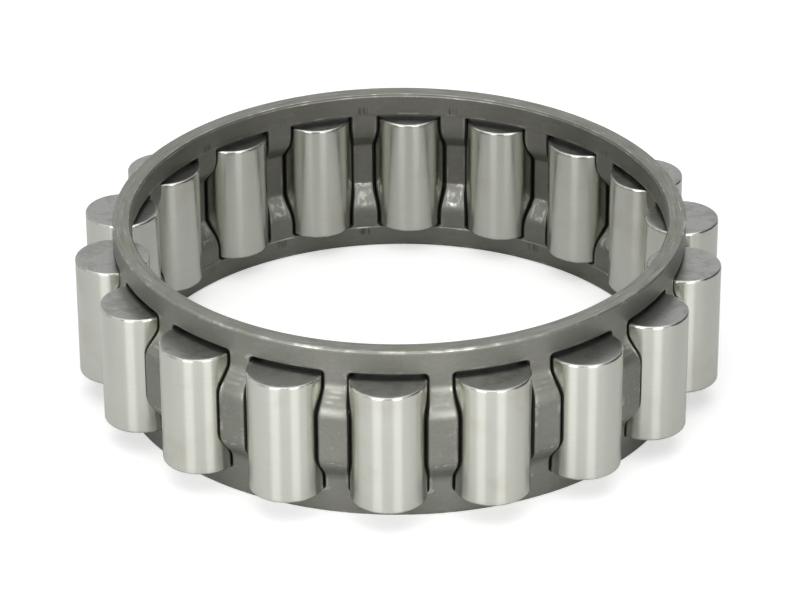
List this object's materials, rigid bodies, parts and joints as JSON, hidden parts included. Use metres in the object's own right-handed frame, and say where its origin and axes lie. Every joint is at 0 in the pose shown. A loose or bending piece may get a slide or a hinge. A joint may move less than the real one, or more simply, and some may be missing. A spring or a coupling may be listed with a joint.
{
  "type": "gearbox roller bearing",
  "caption": "Radial roller bearing without rings: cylindrical rollers held in a formed steel window cage with stepped bars, turning freely in their pockets.",
  "frame": {"origin": "on the bearing axis, in the plane of the cage's lower side face", "axes": "+Z along the bearing axis, up from the lower side face to the upper one; -Y points to the first roller; the bearing rests on its lower side face"},
  "size_m": [0.1214, 0.123, 0.034],
  "materials": {
    "cage_steel": "dull formed sheet steel, blackened by heat treatment",
    "roller_steel": "ground and bright"
  },
  "bodies": {
    "cage": {"cage": "cage_steel"},
    "roller_01": {"roller_01": "roller_steel"},
    "roller_02": {"roller_02": "roller_steel"},
    "roller_03": {"roller_03": "roller_steel"},
    "roller_04": {"roller_04": "roller_steel"},
    "roller_05": {"roller_05": "roller_steel"},
    "roller_06": {"roller_06": "roller_steel"},
    "roller_07": {"roller_07": "roller_steel"},
    "roller_08": {"roller_08": "roller_steel"},
    "roller_09": {"roller_09": "roller_steel"},
    "roller_10": {"roller_10": "roller_steel"},
    "roller_11": {"roller_11": "roller_steel"},
    "roller_12": {"roller_12": "roller_steel"},
    "roller_13": {"roller_13": "roller_steel"},
    "roller_14": {"roller_14": "roller_steel"},
    "roller_15": {"roller_15": "roller_steel"},
    "roller_16": {"roller_16": "roller_steel"},
    "roller_17": {"roller_17": "roller_steel"},
    "roller_18": {"roller_18": "roller_steel"}
  },
  "joints": [
    {"name": "roller_01_spin", "type": "hinge", "parent": "cage", "child": "roller_01", "pos_m": [0, -0.0545, 0.0167], "axis": [0, 0, 1], "continuous": true},
    {"name": "roller_02_spin", "type": "hinge", "parent": "cage", "child": "roller_02", "pos_m": [0.01864, -0.05121, 0.0167], "axis": [0, 0, 1], "continuous": true},
    {"name": "roller_03_spin", "type": "hinge", "parent": "cage", "child": "roller_03", "pos_m": [0.03503, -0.04175, 0.0167], "axis": [0, 0, 1], "continuous": true},
    {"name": "roller_04_spin", "type": "hinge", "parent": "cage", "child": "roller_04", "pos_m": [0.0472, -0.02725, 0.0167], "axis": [0, 0, 1], "continuous": true},
    {"name": "roller_05_spin", "type": "hinge", "parent": "cage", "child": "roller_05", "pos_m": [0.05367, -0.00946, 0.0167], "axis": [0, 0, 1], "continuous": true},
    {"name": "roller_06_spin", "type": "hinge", "parent": "cage", "child": "roller_06", "pos_m": [0.05367, 0.00946, 0.0167], "axis": [0, 0, 1], "continuous": true},
    {"name": "roller_07_spin", "type": "hinge", "parent": "cage", "child": "roller_07", "pos_m": [0.0472, 0.02725, 0.0167], "axis": [0, 0, 1], "continuous": true},
    {"name": "roller_08_spin", "type": "hinge", "parent": "cage", "child": "roller_08", "pos_m": [0.03503, 0.04175, 0.0167], "axis": [0, 0, 1], "continuous": true},
    {"name": "roller_09_spin", "type": "hinge", "parent": "cage", "child": "roller_09", "pos_m": [0.01864, 0.05121, 0.0167], "axis": [0, 0, 1], "continuous": true},
    {"name": "roller_10_spin", "type": "hinge", "parent": "cage", "child": "roller_10", "pos_m": [0, 0.0545, 0.0167], "axis": [0, 0, 1], "continuous": true},
    {"name": "roller_11_spin", "type": "hinge", "parent": "cage", "child": "roller_11", "pos_m": [-0.01864, 0.05121, 0.0167], "axis": [0, 0, 1], "continuous": true},
    {"name": "roller_12_spin", "type": "hinge", "parent": "cage", "child": "roller_12", "pos_m": [-0.03503, 0.04175, 0.0167], "axis": [0, 0, 1], "continuous": true},
    {"name": "roller_13_spin", "type": "hinge", "parent": "cage", "child": "roller_13", "pos_m": [-0.0472, 0.02725, 0.0167], "axis": [0, 0, 1], "continuous": true},
    {"name": "roller_14_spin", "type": "hinge", "parent": "cage", "child": "roller_14", "pos_m": [-0.05367, 0.00946, 0.0167], "axis": [0, 0, 1], "continuous": true},
    {"name": "roller_15_spin", "type": "hinge", "parent": "cage", "child": "roller_15", "pos_m": [-0.05367, -0.00946, 0.0167], "axis": [0, 0, 1], "continuous": true},
    {"name": "roller_16_spin", "type": "hinge", "parent": "cage", "child": "roller_16", "pos_m": [-0.0472, -0.02725, 0.0167], "axis": [0, 0, 1], "continuous": true},
    {"name": "roller_17_spin", "type": "hinge", "parent": "cage", "child": "roller_17", "pos_m": [-0.03503, -0.04175, 0.0167], "axis": [0, 0, 1], "continuous": true},
    {"name": "roller_18_spin", "type": "hinge", "parent": "cage", "child": "roller_18", "pos_m": [-0.01864, -0.05121, 0.0167], "axis": [0, 0, 1], "continuous": true}
  ]
}
